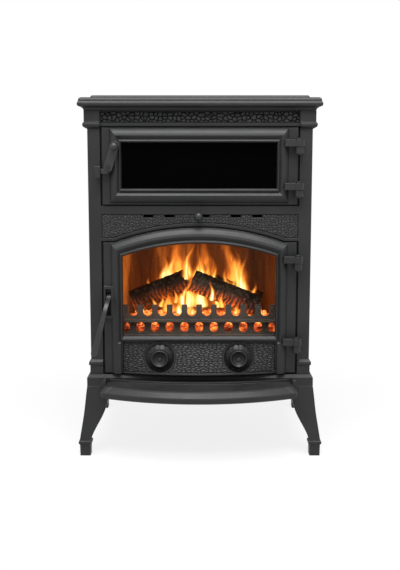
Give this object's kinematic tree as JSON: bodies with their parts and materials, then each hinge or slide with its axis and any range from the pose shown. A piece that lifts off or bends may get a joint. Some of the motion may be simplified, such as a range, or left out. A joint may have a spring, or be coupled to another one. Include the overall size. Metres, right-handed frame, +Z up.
{
  "type": "cast iron stove",
  "caption": "Black cast iron wood stove on splayed legs with a small glazed oven above an arched glazed fire door, air dials, latch handles and an ash lip.",
  "frame": {"origin": "middle of the stove's outer box on the floor, under the feet", "axes": "+Z up, +X to the right seen from the front, the doors face -Y"},
  "size_m": [0.546, 0.52, 0.8],
  "materials": {
    "stove_iron": "satin black stove paint",
    "door_iron": "satin black stove paint",
    "fire_iron": "raw, heat browned",
    "fittings": "satin black",
    "steel": "dark oiled",
    "sheet_steel": "matt dark",
    "oven_glass": "dark ceramic glass",
    "fire_glass": "clear ceramic glass",
    "rope": "woven glass rope",
    "firebrick": "rough fireclay",
    "firewood": "charred bark",
    "embers": "glowing charcoal"
  },
  "bodies": {
    "stove": {"air_slider_guides": "steel", "ash_lip": "stove_iron", "ash_lip_bolts": "steel", "ash_pan": "sheet_steel", "back_panel": "stove_iron", "baffle_plate": "fire_iron", "base_plate": "stove_iron", "ember_bed": "embers", "fire_door_strike": "steel", "fire_grate": "fire_iron", "fire_hinge_pins": "steel", "firebox_floor": "fire_iron", "flue_collar": "stove_iron", "flue_collar_bolts": "steel", "front_frame": "stove_iron", "leg_front_left": "stove_iron", "leg_front_right": "stove_iron", "leg_rear_left": "stove_iron", "leg_rear_right": "stove_iron", "liner_back": "firebrick", "liner_left": "firebrick", "liner_right": "firebrick", "log_guard": "fire_iron", "log_left": "firewood", "log_rear": "firewood", "log_right": "firewood", "oven_hinge_pins": "steel", "oven_latch_keeper": "door_iron", "oven_liner": "sheet_steel", "oven_rack": "steel", "side_panel_left": "stove_iron", "side_panel_right": "stove_iron", "tie_rod_nuts": "steel", "tie_rods": "steel", "top_plate": "stove_iron"},
    "oven_door": {"oven_door": "door_iron", "oven_glass": "oven_glass", "oven_door_rope": "rope", "oven_glass_clips": "steel", "oven_clip_screws": "steel", "oven_latch_screw": "steel"},
    "oven_latch": {"oven_latch_lever": "fittings", "oven_latch_knob": "fittings"},
    "fire_door": {"fire_door": "door_iron", "fire_glass": "fire_glass", "fire_door_rope": "rope", "fire_glass_clips": "steel", "fire_clip_screws": "steel", "fire_handle_pin": "steel"},
    "fire_handle": {"fire_handle": "fittings"},
    "air_spindle_left": {"air_spindle_left": "steel"},
    "air_dial_left": {"air_dial_left": "fittings"},
    "air_spindle_right": {"air_spindle_right": "steel"},
    "air_dial_right": {"air_dial_right": "fittings"},
    "air_slider": {"air_slider": "steel", "air_slider_knob": "fittings"}
  },
  "joints": [
    {"name": "oven_door_swing", "type": "hinge", "parent": "stove", "child": "oven_door", "pos_m": [0.2145, -0.17, 0.645], "axis": [0, 0, 1], "range_deg": [0, 110]},
    {"name": "oven_latch_turn", "type": "hinge", "parent": "oven_door", "child": "oven_latch", "pos_m": [-0.199, -0.173, 0.644], "axis": [0, 1, 0], "range_deg": [0, 40]},
    {"name": "fire_door_swing", "type": "hinge", "parent": "stove", "child": "fire_door", "pos_m": [0.2145, -0.17, 0.345], "axis": [0, 0, 1], "range_deg": [0, 110]},
    {"name": "fire_handle_lift", "type": "hinge", "parent": "fire_door", "child": "fire_handle", "pos_m": [-0.2025, -0.154, 0.357], "axis": [-1, 0, 0], "range_deg": [0, 55]},
    {"name": "air_dial_left_turn", "type": "hinge", "parent": "fire_door", "child": "air_spindle_left", "pos_m": [-0.0895, -0.16, 0.2245], "axis": [0, -1, 0], "range_deg": [-360, 1440]},
    {"name": "air_dial_left_travel", "type": "slide", "parent": "air_spindle_left", "child": "air_dial_left", "axis": [0, -1, 0], "range_m": [-0.0016, 0.0061]},
    {"name": "air_dial_right_turn", "type": "hinge", "parent": "fire_door", "child": "air_spindle_right", "pos_m": [0.0855, -0.16, 0.2245], "axis": [0, -1, 0], "range_deg": [-360, 1440]},
    {"name": "air_dial_right_travel", "type": "slide", "parent": "air_spindle_right", "child": "air_dial_right", "axis": [0, -1, 0], "range_m": [-0.0016, 0.0061]},
    {"name": "air_slider_slide", "type": "slide", "parent": "stove", "child": "air_slider", "axis": [1, 0, 0], "range_m": [0, 0.02]}
  ],
  "couplings": [
    {"joint": "air_dial_left_travel", "follows": "air_dial_left_turn", "m_per_rad": 0.00023873},
    {"joint": "air_dial_right_travel", "follows": "air_dial_right_turn", "m_per_rad": 0.00023873}
  ]
}
